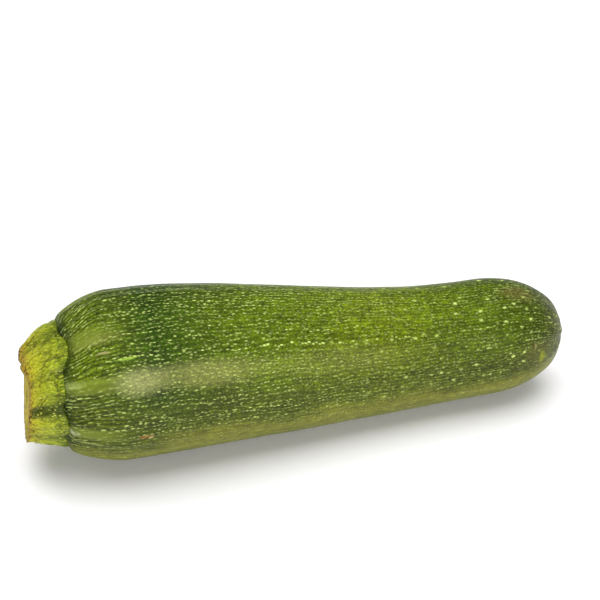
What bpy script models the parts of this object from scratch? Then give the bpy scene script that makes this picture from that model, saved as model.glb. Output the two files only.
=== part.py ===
"""A zucchini lying on its side, as picked: one fruit, and the short stalk it was cut off by.

Metres, +Z up. +X runs along the fruit, from the stalk to the blossom end. The origin lies on
the surface that carries it, under the middle of its box.
"""

import math

import bmesh
import bpy
from mathutils import Matrix, Vector

# Length of the fruit from the seat of the stalk to the blossom end, and its three radii
FRUIT_LENGTH = 0.160
SEAT_RADIUS = 0.0188
SHOULDER_RADIUS = 0.0260
BLOSSOM_RADIUS = 0.0184

# Where the round shoulder ends and the round blossom end begins, as shares of the length,
# and how square each is: 2 would be an ellipse
SHOULDER_AT = 0.102
BLOSSOM_AT = 0.83
SHOULDER_POWER = 1.485
BLOSSOM_POWER = 2.1

# The centre line: a slight bow to one side, a belly that is lowest under the weight, a
# shoulder that hangs a little, and a blossom end that is set a little off centre
BOW = 0.0004
BELLY_RISE = 0.0080
BELLY_AT = 0.45
SHOULDER_HANG = -0.0010
HANG_UNTIL = 0.25
TIP_FROM = 0.80
TIP_ASIDE = -0.0011
TIP_DROP = -0.0025

# How much of the belly is pressed flat where it lies
FLAT_SPOT_DEPTH = 0.0007

# The ribs of the stalk: the angle of each crest in degrees round the fruit, from +Y over the
# top, how far the rib reaches on to the fruit, and the depth of the groove that follows it
RIBS = (
    (18.0, 0.0003, 0.0012),
    (60.0, 0.0006, 0.0013),
    (112.0, 0.0020, 0.0011),
    (150.0, -0.0010, 0.0023),
    (188.0, -0.0011, 0.0012),
    (224.0, -0.0014, 0.0020),
    (262.0, 0.0004, 0.0009),
    (300.0, -0.0002, 0.0021),
    (340.0, 0.0004, 0.0010),
)
GROOVE_SOFTNESS = 0.04
GROOVES_FADE = 0.13

# Ridges of the skin, high at the shoulder and low further along, and five broad sides
RIDGES = 36
RIDGE_HEIGHT = 0.00022
RIDGE_LEFT = 0.15
RIDGES_FADE = 0.42
# The ridges wander round the fruit: waves per turn, how far in radians, and where each starts
WANDERS = ((2.0, 1.1, 0.7), (3.0, 0.8, 2.0))
SIDES = 5
SIDE_SWELL = 0.00030
SIDE_TURN = 0.4

# The scar where the blossom fell off: its radius, its dish, and the puckers round it
SCAR_RADIUS = 0.0050
SCAR_DISH = 0.0008
PUCKERS = 10
PUCKER_HEIGHT = 0.00025
PUCKERS_FROM = 0.94
PUCKERS_RISE = 0.04

# The stalk: its length, its radius at the cut, how far the cut is set in front of the seat and
# below it, and how late along it the taper and that shift come
STALK_LENGTH = 0.0108
CUT_RADIUS = 0.0137
CUT_ASIDE = -0.0013
CUT_DROP = -0.0017
TAPER_POWER = 2.2
SHIFT_POWER = 4.5
STALK_FIBRES = 31
STALK_FIBRE_HEIGHT = 0.00018
FIBRES_RISE = 0.33

# One rib swells towards the cut into a lobe
LOBE_AT = 58.0
LOBE_WIDTH = 22.0
LOBE_SWELL = 0.0015

# The cut: it leans back towards +Y and towards the top, is dished, and leaves one torn ear with
# a notch in it
CUT_LEAN_ASIDE = 0.09
CUT_LEAN_UP = 0.125
CUT_GROOVES = 0.75
CUT_DISH = 0.0006
EAR_AT = 88.0
EAR_WIDTH = 30.0
EAR_REACH = 0.0029
NOTCH_AT = 95.0
NOTCH_WIDTH = 5.0
NOTCH_DEPTH = 0.0008

# The seam between the two, which stands further back in the grooves than on the ribs
SEAM_WAVE = 0.0010
SEAM_GAP = 0.0003
BASE_INSET = 0.0003

# Where the seat of the stalk stands, so that the origin is under the middle of the box
SEAT_X = -0.0735
SEAT_Y = -0.0004

# Step along the fruit for the direction of its centre line
AXES_STEP = 1e-4

# Fineness of the two bodies
COLUMNS = 144
SHOULDER_RINGS = 8
BODY_RINGS = 12
BLOSSOM_RINGS = 9
STALK_RINGS = 9
FACE_RINGS = 3

# Colours in linear light
FRUIT_GREEN = (0.052, 0.112, 0.016, 1.0)
STALK_GREEN = (0.330, 0.410, 0.045, 1.0)


AROUND = [2.0 * math.pi * i / COLUMNS for i in range(COLUMNS)]


def eased(u):
    """0 below 0, 1 above 1, and a soft step between."""
    u = min(max(u, 0.0), 1.0)
    return u * u * (3.0 - 2.0 * u)


def ribbing(angle):
    """The depth below the ribs' crests, and the reach of the seam, at an angle round the stalk."""
    turn = math.degrees(angle) % 360.0
    if turn < RIBS[0][0]:
        turn += 360.0
    closing = (RIBS[0][0] + 360.0, *RIBS[0][1:])
    for (before, reach, depth), (after, next_reach, _) in zip(RIBS, (*RIBS[1:], closing)):
        if turn <= after:
            break
    share = (turn - before) / (after - before)
    across = math.cos(math.pi * share) ** 2
    groove = 1.0 - math.sqrt((across + GROOVE_SOFTNESS) / (1.0 + GROOVE_SOFTNESS))
    return depth * groove, reach + (next_reach - reach) * eased(share) - SEAM_WAVE * groove


def unrounded_radius(t):
    """Radius of the fruit at t, 0 at the stalk to 1 at the tip, as if neither end were round."""
    along = eased((t - SHOULDER_AT) / (BLOSSOM_AT - SHOULDER_AT))
    return SHOULDER_RADIUS + (BLOSSOM_RADIUS - SHOULDER_RADIUS) * along


def rounding(t):
    """Share of that radius which the round shoulder and the round blossom end leave at t."""
    seat = SEAT_RADIUS / SHOULDER_RADIUS
    u = min(t / SHOULDER_AT, 1.0)
    shoulder = seat + (1.0 - seat) * (1.0 - (1.0 - u) ** SHOULDER_POWER) ** (1.0 / SHOULDER_POWER)
    w = max((t - BLOSSOM_AT) / (1.0 - BLOSSOM_AT), 0.0)
    return shoulder * max(1.0 - w**BLOSSOM_POWER, 0.0) ** (1.0 / BLOSSOM_POWER)


def centre(t):
    """Middle of the fruit's ring at t, with x from the seat and z from the surface below."""
    hang = max(1.0 - t / HANG_UNTIL, 0.0) ** 2
    tip = (max(t - TIP_FROM, 0.0) / (1.0 - TIP_FROM)) ** 2
    y = BOW * math.sin(math.pi * t) + TIP_ASIDE * tip
    z = unrounded_radius(t) + BELLY_RISE * (t - BELLY_AT) ** 2 - FLAT_SPOT_DEPTH
    return t * FRUIT_LENGTH, y, z + SHOULDER_HANG * hang + TIP_DROP * tip


def relief(t, angle):
    """Height of the grooves from the stalk, the skin's ridges and the broad sides at a point."""
    roots = -ribbing(angle)[0] * (1.0 - eased(t / GROOVES_FADE))
    wander = sum(far * math.sin(waves * angle + start) for waves, far, start in WANDERS)
    ridges = RIDGE_LEFT + (1.0 - RIDGE_LEFT) * (1.0 - eased(t / RIDGES_FADE))
    ridges *= RIDGE_HEIGHT * math.cos(RIDGES * angle + wander)
    sides = SIDE_SWELL * math.cos(SIDES * angle + SIDE_TURN)
    puckers = PUCKER_HEIGHT * math.cos(PUCKERS * angle) * eased((t - PUCKERS_FROM) / PUCKERS_RISE)
    round_tip = rounding(max(t, SHOULDER_AT))
    return roots + puckers + (ridges + sides) * round_tip


def axes(t):
    """Three axes at t: forward along the centre line, level to the left of it, and over it."""
    forward = Vector(centre(t + AXES_STEP)) - Vector(centre(t - AXES_STEP))
    forward.normalize()
    side = Vector((0.0, 0.0, 1.0)).cross(forward).normalized()
    return forward, side, forward.cross(side)


def fruit_point(t, angle, axes_here):
    """A point of the fruit's skin, on a ring square to the centre line."""
    forward, side, over = axes_here
    radius = unrounded_radius(t) * rounding(t) + relief(t, angle)
    point = Vector(centre(t)) + radius * (math.cos(angle) * side + math.sin(angle) * over)
    point.z = max(point.z, 0.0)
    return point


def seam_offset(angle, share):
    """How far the seam stands towards the blossom end, share 0 at its middle to 1 at its rim."""
    return ribbing(angle)[1] * share**2


def fruit_stations():
    """Where the fruit's rings stand, closer together on its two round ends."""
    quarter = math.pi / 2.0
    scar_at = (1.0 - (SCAR_RADIUS / BLOSSOM_RADIUS) ** BLOSSOM_POWER) ** (1.0 / BLOSSOM_POWER)
    stations = []
    for k in range(SHOULDER_RINGS):
        stations.append(SHOULDER_AT * (1.0 - math.cos(quarter * k / SHOULDER_RINGS)))
    for k in range(BODY_RINGS):
        stations.append(SHOULDER_AT + (BLOSSOM_AT - SHOULDER_AT) * k / BODY_RINGS)
    for k in range(BLOSSOM_RINGS + 1):
        share = math.sin(math.asin(scar_at) * k / BLOSSOM_RINGS)
        stations.append(BLOSSOM_AT + (1.0 - BLOSSOM_AT) * share)
    return stations


def disc_rings(rim, count):
    """Rings that shrink evenly from a rim to its middle, the rim left out, the middle last."""
    middle = sum(rim, Vector()) / len(rim)
    rings = []
    for k in range(1, count):
        rings.append([point.lerp(middle, k / count) for point in rim])
    return rings + [[middle]]


def fruit_rings():
    """The rings of the fruit, from the middle of its seat over the skin to the blossom scar."""
    skin_rings = []
    for t in fruit_stations():
        here = axes(t)
        skin_rings.append([fruit_point(t, a, here) for a in AROUND])
    seat = disc_rings(skin_rings[0], FACE_RINGS)[::-1]
    scar = disc_rings(skin_rings[-1], 2)
    for k, ring in enumerate(scar, start=1):
        for point in ring:
            point.x -= SCAR_DISH * k / 2.0
    # The seat waves with the seam, and the first rings of the skin let the wave fade out
    for k, ring in enumerate(seat):
        if k:
            for a, point in zip(AROUND, ring):
                point.x += seam_offset(a, k / FACE_RINGS)
    for t, ring in zip(fruit_stations(), skin_rings):
        for a, point in zip(AROUND, ring):
            point.x += seam_offset(a, 1.0) * (1.0 - eased(t / SHOULDER_AT))
    return seat + skin_rings + scar


def bulge(angle, middle, width, power=2):
    """1 at one angle round the stalk, falling to 0 on both sides of it."""
    return math.exp(-(abs((math.degrees(angle) - middle) / width) ** power))


def stalk_point(s, angle, share=1.0):
    """A point of the stalk, s from 0 at the seam to 1 at the cut, share from its middle out."""
    taper = s**TAPER_POWER
    radius = SEAT_RADIUS - BASE_INSET + (CUT_RADIUS - SEAT_RADIUS + BASE_INSET) * taper
    radius += STALK_FIBRE_HEIGHT * math.cos(STALK_FIBRES * angle) * eased(s / FIBRES_RISE)
    radius -= ribbing(angle)[0] * (1.0 + (CUT_GROOVES - 1.0) * s)
    radius += LOBE_SWELL * bulge(angle, LOBE_AT, LOBE_WIDTH) * s**2
    across = share * radius * math.cos(angle)
    over = share * radius * math.sin(angle)
    lean = CUT_LEAN_ASIDE * across + CUT_LEAN_UP * over
    ear = EAR_REACH * bulge(angle, EAR_AT, EAR_WIDTH, 4) - NOTCH_DEPTH * bulge(angle, NOTCH_AT, NOTCH_WIDTH)
    torn = ear * s**4 * share**3
    shift = s**SHIFT_POWER
    return (lean - STALK_LENGTH) * s - torn, across + CUT_ASIDE * shift, over + CUT_DROP * shift


def stalk_rings():
    """The rings of the stalk, from the middle of its base along its side to the cut face."""
    rings = [[(-SEAM_GAP, 0.0, 0.0)]]
    for k in range(1, FACE_RINGS + 1):
        share = k / FACE_RINGS
        ring = []
        for a in AROUND:
            x, y, z = stalk_point(0.0, a, share)
            ring.append((x + seam_offset(a, share) - SEAM_GAP, y, z))
        rings.append(ring)
    for k in range(1, STALK_RINGS + 1):
        s = k / STALK_RINGS
        ring = []
        for a in AROUND:
            x, y, z = stalk_point(s, a)
            ring.append((x + (seam_offset(a, 1.0) - SEAM_GAP) * (1.0 - s), y, z))
        rings.append(ring)
    for k in range(1, FACE_RINGS):
        share = 1.0 - k / FACE_RINGS
        ring = []
        for a in AROUND:
            x, y, z = stalk_point(1.0, a, share)
            ring.append((x + CUT_DISH * (1.0 - share), y, z))
        rings.append(ring)
    rings.append([(-STALK_LENGTH + CUT_DISH, CUT_ASIDE, CUT_DROP)])
    return rings


def closed_skin(name, rings):
    """A closed mesh through rings of points, whose first and last rings are single points."""
    bm = bmesh.new()
    loops = [[bm.verts.new(point) for point in ring] for ring in rings]
    for first, second in zip(loops, loops[1:]):
        count = max(len(first), len(second))
        for i in range(count):
            j = (i + 1) % count
            if len(first) == 1:
                bm.faces.new((first[0], second[i], second[j]))
            elif len(second) == 1:
                bm.faces.new((first[j], first[i], second[0]))
            else:
                bm.faces.new((first[j], first[i], second[i], second[j]))
    bmesh.ops.recalc_face_normals(bm, faces=bm.faces)
    mesh = bpy.data.meshes.new(name)
    bm.to_mesh(mesh)
    bm.free()
    mesh.shade_smooth()
    mesh.set_sharp_from_angle(angle=math.radians(50))
    return mesh


def material(name, colour, roughness):
    made = bpy.data.materials.new(name)
    made.use_nodes = True
    shader = made.node_tree.nodes["Principled BSDF"]
    shader.inputs["Base Color"].default_value = colour
    shader.inputs["Roughness"].default_value = roughness
    shader.inputs["Metallic"].default_value = 0.0
    made.diffuse_color = colour
    return made


def piece(name, mesh, surface, parent):
    mesh.materials.append(surface)
    made = bpy.data.objects.new(name, mesh)
    bpy.context.scene.collection.objects.link(made)
    made.parent = parent
    return made


for old in list(bpy.data.objects):
    bpy.data.objects.remove(old)

zucchini = bpy.data.objects.new("zucchini", None)
bpy.context.scene.collection.objects.link(zucchini)
zucchini.location = (SEAT_X, SEAT_Y, 0.0)

piece("fruit", closed_skin("fruit", fruit_rings()), material("skin", FRUIT_GREEN, 0.40), zucchini)

# The stalk sits square on the seat, so it turns with the centre line there
stalk = piece("stalk", closed_skin("stalk", stalk_rings()), material("stem", STALK_GREEN, 0.60), zucchini)
stalk.location = centre(0.0)
stalk.rotation_euler = Matrix(axes(0.0)).transposed().to_euler()
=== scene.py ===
import math

import bmesh
import bpy
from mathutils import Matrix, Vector


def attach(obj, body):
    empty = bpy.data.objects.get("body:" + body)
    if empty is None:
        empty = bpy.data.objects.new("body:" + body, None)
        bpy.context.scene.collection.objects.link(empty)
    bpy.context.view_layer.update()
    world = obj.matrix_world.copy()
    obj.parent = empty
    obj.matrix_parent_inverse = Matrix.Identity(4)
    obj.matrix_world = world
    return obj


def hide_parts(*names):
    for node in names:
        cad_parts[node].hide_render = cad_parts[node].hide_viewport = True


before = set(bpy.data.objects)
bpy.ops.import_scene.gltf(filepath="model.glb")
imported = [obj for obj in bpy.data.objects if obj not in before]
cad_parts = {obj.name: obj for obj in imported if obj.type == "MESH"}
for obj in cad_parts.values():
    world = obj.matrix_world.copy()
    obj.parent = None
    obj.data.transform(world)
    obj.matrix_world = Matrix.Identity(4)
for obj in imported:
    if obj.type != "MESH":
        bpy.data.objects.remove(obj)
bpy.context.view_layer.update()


# The fruit: firm flesh under a thin waxy skin, grown in one piece. Its rings are swept along the
# centre line, from the seat of the stalk to the scar of the blossom. It is widest at the
# shoulder, and lies on a belly that its own weight has pressed flat.
FRUIT_LENGTH = 0.160
SEAT_RADIUS = 0.0188
SHOULDER_RADIUS = 0.0260
BLOSSOM_RADIUS = 0.0184
SHOULDER_AT = 0.102
BLOSSOM_AT = 0.83
SHOULDER_POWER = 1.485
BLOSSOM_POWER = 2.1
BOW = 0.0004
BELLY_RISE = 0.0080
BELLY_AT = 0.45
SHOULDER_HANG = -0.0010
HANG_UNTIL = 0.25
TIP_FROM = 0.80
TIP_ASIDE = -0.0011
TIP_DROP = -0.0025
FLAT_SPOT_DEPTH = 0.0007
SEAT = Vector((-0.0735, -0.0004, 0.0))

# Ribs of the stalk: crest in degrees round the fruit from +Y over the top, reach of the rib on to
# the fruit, depth of the groove that follows it
RIBS = (
    (18.0, 0.0003, 0.0012),
    (60.0, 0.0006, 0.0013),
    (112.0, 0.0020, 0.0011),
    (150.0, -0.0010, 0.0023),
    (188.0, -0.0011, 0.0012),
    (224.0, -0.0014, 0.0020),
    (262.0, 0.0004, 0.0009),
    (300.0, -0.0002, 0.0021),
    (340.0, 0.0004, 0.0010),
)
GROOVE_SOFTNESS = 0.04
GROOVES_FADE = 0.13
SEAM_WAVE = 0.0010
SCAR_RADIUS = 0.0050
SCAR_DISH = 0.0008

# Relief left along the fruit: share of it past the fade, and where the fade ends
RIDGE_LEFT = 0.15
RIDGES_FADE = 0.42
FINE_RIDGE_LEFT = 0.08
FINE_RIDGES_FADE = 0.16
PUCKERS_FROM = 0.94
PUCKERS_FULL = 0.98
# The ridges wander round the fruit: waves per turn, how far in radians, and where each starts
WANDERS = ((2.0, 1.1, 0.7), (3.0, 0.8, 2.0))

# Flecks stand in rows along the fruit. Their pitch in a row, in millimetres, is one by the stalk and
# another further on, and passes over between two shares of the length.
FLECK_ROWS = 108
PITCH_BY_STALK = 1.8
PITCH_BEYOND = 1.1
PITCH_FROM = 0.03
PITCH_UNTIL = 0.18

# Waves round the fruit and their heights, dents, and the crevice round the seat, with its reach
CREVICE_UNTIL = 0.011
FRUIT_RELIEF = {
    "Ridges": 36.0,
    "Ridge height": 0.00013,
    "Fine ridges": float(FLECK_ROWS),
    "Fine ridge height": 0.00004,
    "Broad sides": 5.0,
    "Side swell": 0.00030,
    "Puckers": 10.0,
    "Pucker height": 0.00025,
    "Dent size": 0.014,
    "Dent depth": 0.0005,
    "Crevice depth": 0.0009,
}

# How many columns and rings the skin is swept with, the step between rings on a flat face, and how
# near to each other points are welded
FRUIT_COLUMNS = 750
SHOULDER_RINGS = 24
MIDDLE_RINGS = 62
TIP_RINGS = 27
SCAR_RINGS = 6
RING_STEP = 2e-5
WELD = 1e-6


def eased(u):
    """0 below 0, 1 above 1, and a soft step between."""
    u = min(max(u, 0.0), 1.0)
    return u * u * (3.0 - 2.0 * u)


def ribbing(angle):
    """Depth below the ribs' crests, and reach of the seam, at an angle round the stalk."""
    turn = math.degrees(angle) % 360.0
    if turn < RIBS[0][0]:
        turn += 360.0
    closing = (RIBS[0][0] + 360.0, *RIBS[0][1:])
    for (before, reach, depth), (after, next_reach, _) in zip(RIBS, (*RIBS[1:], closing)):
        if turn <= after:
            break
    share = (turn - before) / (after - before)
    across = math.cos(math.pi * share) ** 2
    groove = 1.0 - math.sqrt((across + GROOVE_SOFTNESS) / (1.0 + GROOVE_SOFTNESS))
    return depth * groove, reach + (next_reach - reach) * eased(share) - SEAM_WAVE * groove


def unrounded_radius(t):
    """Radius of the fruit at t, 0 at the stalk to 1 at the tip, as if neither end were round."""
    along = eased((t - SHOULDER_AT) / (BLOSSOM_AT - SHOULDER_AT))
    return SHOULDER_RADIUS + (BLOSSOM_RADIUS - SHOULDER_RADIUS) * along


def rounding(t):
    """Share of that radius which the round shoulder and the round blossom end leave at t."""
    seat = SEAT_RADIUS / SHOULDER_RADIUS
    u = min(t / SHOULDER_AT, 1.0)
    shoulder = seat + (1.0 - seat) * (1.0 - (1.0 - u) ** SHOULDER_POWER) ** (1.0 / SHOULDER_POWER)
    w = max((t - BLOSSOM_AT) / (1.0 - BLOSSOM_AT), 0.0)
    return shoulder * max(1.0 - w**BLOSSOM_POWER, 0.0) ** (1.0 / BLOSSOM_POWER)


def centre(t):
    """Middle of the fruit's ring at t."""
    hang = max(1.0 - t / HANG_UNTIL, 0.0) ** 2
    tip = (max(t - TIP_FROM, 0.0) / (1.0 - TIP_FROM)) ** 2
    y = BOW * math.sin(math.pi * t) + TIP_ASIDE * tip
    z = unrounded_radius(t) + BELLY_RISE * (t - BELLY_AT) ** 2 - FLAT_SPOT_DEPTH
    return SEAT + Vector((t * FRUIT_LENGTH, y, z + SHOULDER_HANG * hang + TIP_DROP * tip))


def axes(t):
    """Three axes at t: forward along the centre line, level to the left of it, and over it."""
    forward = (centre(t + 1e-4) - centre(t - 1e-4)).normalized()
    side = Vector((0.0, 0.0, 1.0)).cross(forward).normalized()
    return forward, side, forward.cross(side)


def node(tree, kind, inputs=(), **settings):
    """Add a node with its settings and links. A kind without its family is a ShaderNode. Inputs are
    in the node's order, or by name or number: values, or the nodes or outputs that feed them."""
    made = tree.nodes.new(kind if "Node" in kind else "ShaderNode" + kind)
    for name, value in settings.items():
        setattr(made, name, value)
    for name, value in inputs.items() if isinstance(inputs, dict) else enumerate(inputs):
        if isinstance(value, bpy.types.Node):
            value = next(output for output in value.outputs if output.enabled)
        if isinstance(value, bpy.types.NodeSocket):
            tree.links.new(value, made.inputs[name])
        else:
            made.inputs[name].default_value = value
    return made


def in_scene(name, data):
    """An object that holds the data, linked to the scene."""
    made = bpy.data.objects.new(name, data)
    bpy.context.scene.collection.objects.link(made)
    return made


def chain(name, points, attributes, closed=False):
    """A line of points as an object, carrying one number per point under each attribute's name."""
    mesh = bpy.data.meshes.new(name)
    edges = [(i, i + 1) for i in range(len(points) - 1)]
    if closed:
        edges.append((len(points) - 1, 0))
    mesh.from_pydata(points, edges, [])
    for key, values in attributes.items():
        mesh.attributes.new(key, "FLOAT", "POINT").data.foreach_set("value", values)
    return in_scene(name, mesh)


def sweep_tree(name, sizes, kept):
    """A tree that sweeps a section along a line. Returns it with its sockets, its inputs, what it
    reads of each kept attribute, each point's place, that place off the line, and the sweep."""
    tree = bpy.data.node_groups.new(name, "GeometryNodeTree")
    tree.interface.new_socket("Geometry", in_out="OUTPUT", socket_type="NodeSocketGeometry")
    sockets = {}
    for key, kind in (
        ("Line", "Geometry"),
        ("Section", "Object"),
        ("Finish", "Material"),
        *((size, "Float") for size in sizes),
    ):
        sockets[key] = tree.interface.new_socket(key, in_out="INPUT", socket_type="NodeSocket" + kind)
    inputs = node(tree, "NodeGroupInput").outputs
    place = node(tree, "GeometryNodeInputPosition")
    marked = node(
        tree,
        "GeometryNodeStoreNamedAttribute",
        {"Geometry": inputs["Line"], "Name": "middle", "Value": place},
        data_type="FLOAT_VECTOR",
    )
    line = node(tree, "GeometryNodeMeshToCurve", {"Mesh": marked})
    line = node(tree, "GeometryNodeSetCurveNormal", {"Curve": line}, mode="Z_UP")
    outline = node(tree, "GeometryNodeObjectInfo", {"Object": inputs["Section"]})
    outline = node(tree, "GeometryNodeMeshToCurve", {"Mesh": outline.outputs["Geometry"]})
    read = {}
    for key in kept:
        read[key] = node(tree, "GeometryNodeInputNamedAttribute", {"Name": key}, data_type="FLOAT")
    paths = {"Curve": line, "Profile Curve": outline, "Scale": read["girth"]}
    swept = node(tree, "GeometryNodeCurveToMesh", paths)
    middle = node(tree, "GeometryNodeInputNamedAttribute", {"Name": "middle"}, data_type="FLOAT_VECTOR")
    off_line = node(tree, "VectorMath", [place, middle], operation="SUBTRACT")
    return tree, sockets, inputs, read, place, off_line, swept


def sealed(tree, geometry, finish):
    """End a sweep's tree: weld its poles, make it real, and give it its material."""
    closed = node(tree, "GeometryNodeMergeByDistance", {"Geometry": geometry, "Distance": WELD})
    real = node(tree, "GeometryNodeRealizeInstances", {"Geometry": closed})
    coated = node(tree, "GeometryNodeSetMaterial", {"Geometry": real, "Material": finish})
    node(tree, "NodeGroupOutput", [coated])


def grown(worker, tree, sockets, values):
    """The plain mesh that the tree makes from the worker line, its poles and normals in order."""
    modifier = worker.modifiers.new(tree.name, "NODES")
    modifier.node_group = tree
    for key, value in values.items():
        modifier[sockets[key].identifier] = value
    graph = bpy.context.evaluated_depsgraph_get()
    mesh = bpy.data.meshes.new_from_object(worker.evaluated_get(graph))
    worker.modifiers.remove(modifier)
    bm = bmesh.new()
    bm.from_mesh(mesh)
    bmesh.ops.recalc_face_normals(bm, faces=bm.faces)
    bm.to_mesh(mesh)
    bm.free()
    mesh.shade_smooth()
    return mesh


def unrolled(mesh, name, along):
    """A UV map of turns round the piece, starting underneath, and of an attribute along it."""
    turns = [0.0] * len(mesh.vertices)
    reach = [0.0] * len(mesh.vertices)
    mesh.attributes["turn"].data.foreach_get("value", turns)
    mesh.attributes[along].data.foreach_get("value", reach)
    layer = mesh.uv_layers.new(name=name)
    for face in mesh.polygons:
        corners = [turns[i] / (2.0 * math.pi) for i in face.vertices]
        most = max(corners)
        for loop, vertex, turn in zip(face.loop_indices, face.vertices, corners):
            layer.data[loop].uv = (turn + 1.0 if most - turn > 0.5 else turn, reach[vertex])


def linear(colour):
    """A colour given as sRGB hex, in linear light."""
    shares = [int(colour[i : i + 2], 16) / 255.0 for i in (1, 3, 5)]
    return [s / 12.92 if s <= 0.04045 else ((s + 0.055) / 1.055) ** 2.4 for s in shares] + [1.0]


# Rings: a closed seat under the stalk, the skin, and the dished scar. The first and the last ring
# are points. Each carries how much of every kind of relief is left there.
scar_at = (1.0 - (SCAR_RADIUS / BLOSSOM_RADIUS) ** BLOSSOM_POWER) ** (1.0 / BLOSSOM_POWER)
ring_at = []
for k in range(SHOULDER_RINGS):
    ring_at.append(SHOULDER_AT * (1.0 - math.cos(math.pi / 2.0 * k / SHOULDER_RINGS)))
ring_at += [SHOULDER_AT + (BLOSSOM_AT - SHOULDER_AT) * k / MIDDLE_RINGS for k in range(MIDDLE_RINGS)]
for k in range(TIP_RINGS + 1):
    ring_at.append(BLOSSOM_AT + (1.0 - BLOSSOM_AT) * math.sin(math.asin(scar_at) * k / TIP_RINGS))
points = []
kinds = ("along", "girth", "rooted", "ridged", "dashed", "tip", "seam", "dish", "scar", "pitch", "count")
rings = {key: [] for key in kinds}


def relief_left(t, share, fade):
    """How much relief is left at t, where a share of it is left past the fade."""
    return (share + (1.0 - share) * (1.0 - eased(t / fade))) * rounding(max(t, SHOULDER_AT))


def add_ring(point, t, girth, seam, dish, scar):
    """One ring of the fruit, with what is left there of each kind of relief."""
    passed = eased((t - PITCH_FROM) / (PITCH_UNTIL - PITCH_FROM))
    pitch = PITCH_BY_STALK + (PITCH_BEYOND - PITCH_BY_STALK) * passed
    since = (t - rings["along"][-1]) * 1000.0 * FRUIT_LENGTH / pitch if points else 0.0
    points.append(point)
    rings["along"].append(t)
    rings["girth"].append(girth)
    rings["rooted"].append(1.0 - eased(t / GROOVES_FADE))
    rings["ridged"].append(relief_left(t, RIDGE_LEFT, RIDGES_FADE))
    rings["dashed"].append(relief_left(t, FINE_RIDGE_LEFT, FINE_RIDGES_FADE))
    rings["tip"].append(eased((t - PUCKERS_FROM) / (PUCKERS_FULL - PUCKERS_FROM)))
    rings["seam"].append(seam)
    rings["dish"].append(dish)
    rings["scar"].append(scar)
    rings["pitch"].append(pitch)
    rings["count"].append(rings["count"][-1] + since if rings["count"] else 0.0)


forward = axes(0.0)[0]
for k, share in enumerate((0.0, 0.35, 0.7, 0.92)):
    add_ring(centre(0.0) - forward * RING_STEP * (4 - k), 0.0, SEAT_RADIUS * share, share**2, 0.0, 0.0)
for t in ring_at:
    add_ring(centre(t), t, unrounded_radius(t) * rounding(t), 1.0 - eased(t / SHOULDER_AT), 0.0, 0.0)
last = ring_at[-1]
forward = axes(last)[0]
for k in range(1, SCAR_RINGS + 1):
    share = k / SCAR_RINGS
    place = centre(last) + forward * RING_STEP * k
    add_ring(place, last, SCAR_RADIUS * (1.0 - share), 0.0, SCAR_DISH * share**0.6, share**0.5)
fruit_line = chain("fruit_line", points, rings)

# The section starts underneath, so that the seam of its UV map lies on the flat spot
start = -math.pi / 2.0
turns = [start + 2.0 * math.pi * i / FRUIT_COLUMNS for i in range(FRUIT_COLUMNS)]
fruit_section = chain(
    "fruit_section",
    [(-math.cos(a), -math.sin(a), 0.0) for a in turns],
    {
        "turn": [a - start for a in turns],
        "groove": [ribbing(a)[0] for a in turns],
        "reach": [ribbing(a)[1] for a in turns],
        "wander": [sum(far * math.sin(n * a + at) for n, far, at in WANDERS) for a in turns],
    },
    closed=True,
)

tree, sockets, inputs, read, place, off_line, swept = sweep_tree(
    "Zucchini skin", FRUIT_RELIEF, (*rings, "turn", "groove", "reach", "wander")
)

# Relief, in metres outward: the stalk's grooves, ridges, fine ridges, broad sides and puckers
angle = node(tree, "Math", [read["turn"], start], operation="ADD")
waves = []
for count, height, extra, left in (
    ("Ridges", "Ridge height", read["wander"], read["ridged"]),
    ("Fine ridges", "Fine ridge height", read["wander"], read["dashed"]),
    ("Broad sides", "Side swell", 0.4, 1.0),
    ("Puckers", "Pucker height", 0.0, read["tip"]),
):
    phase = node(tree, "Math", [angle, inputs[count], extra], operation="MULTIPLY_ADD")
    wave = node(tree, "Math", [phase], operation="COSINE")
    tall = node(tree, "Math", [wave, inputs[height]], operation="MULTIPLY")
    waves.append(node(tree, "Math", [tall, left], operation="MULTIPLY"))
rooted = node(tree, "Math", [read["groove"], read["rooted"]], operation="MULTIPLY")
total = node(tree, "Math", [rooted, -1.0], operation="MULTIPLY")
for wave in waves:
    total = node(tree, "Math", [total, wave], operation="ADD")
for octave in (1.0, 3.7):
    size = node(tree, "Math", [octave, inputs["Dent size"]], operation="DIVIDE")
    field = {"Vector": place, "W": 3.1 * octave, "Scale": size, "Detail": 1.0}
    dents = node(tree, "TexNoise", field, noise_dimensions="4D")
    evened = node(tree, "Math", [dents, 0.5], operation="SUBTRACT")
    deep = node(tree, "Math", [evened, inputs["Dent depth"]], operation="MULTIPLY")
    deep = node(tree, "Math", [deep, octave**1.3], operation="DIVIDE")
    total = node(tree, "Math", [total, deep], operation="ADD")

# A narrow crevice runs round the seat, where the skin turns in under the stalk
reach = [read["along"], 0.0, CREVICE_UNTIL, 1.0, 0.0]
near = node(tree, "MapRange", reach, interpolation_type="SMOOTHSTEP")
crevice = node(tree, "Math", [near, inputs["Crevice depth"]], operation="MULTIPLY")
total = node(tree, "Math", [total, crevice], operation="SUBTRACT")
outward = node(tree, "VectorMath", [off_line], operation="NORMALIZE")
offset = node(tree, "VectorMath", {0: outward, "Scale": total}, operation="SCALE")
waved = node(tree, "Math", [read["reach"], read["seam"]], operation="MULTIPLY")
waved = node(tree, "Math", [waved, read["dish"]], operation="SUBTRACT")
waved = node(tree, "CombineXYZ", [waved])
offset = node(tree, "VectorMath", [offset, waved], operation="ADD")
relieved = node(tree, "GeometryNodeSetPosition", {"Geometry": swept, "Offset": offset})
parts = node(tree, "SeparateXYZ", [place])
lowest = node(tree, "Math", [parts.outputs[2], 0.0], operation="MAXIMUM")
pressed = node(tree, "CombineXYZ", [parts.outputs[0], parts.outputs[1], lowest])
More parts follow.
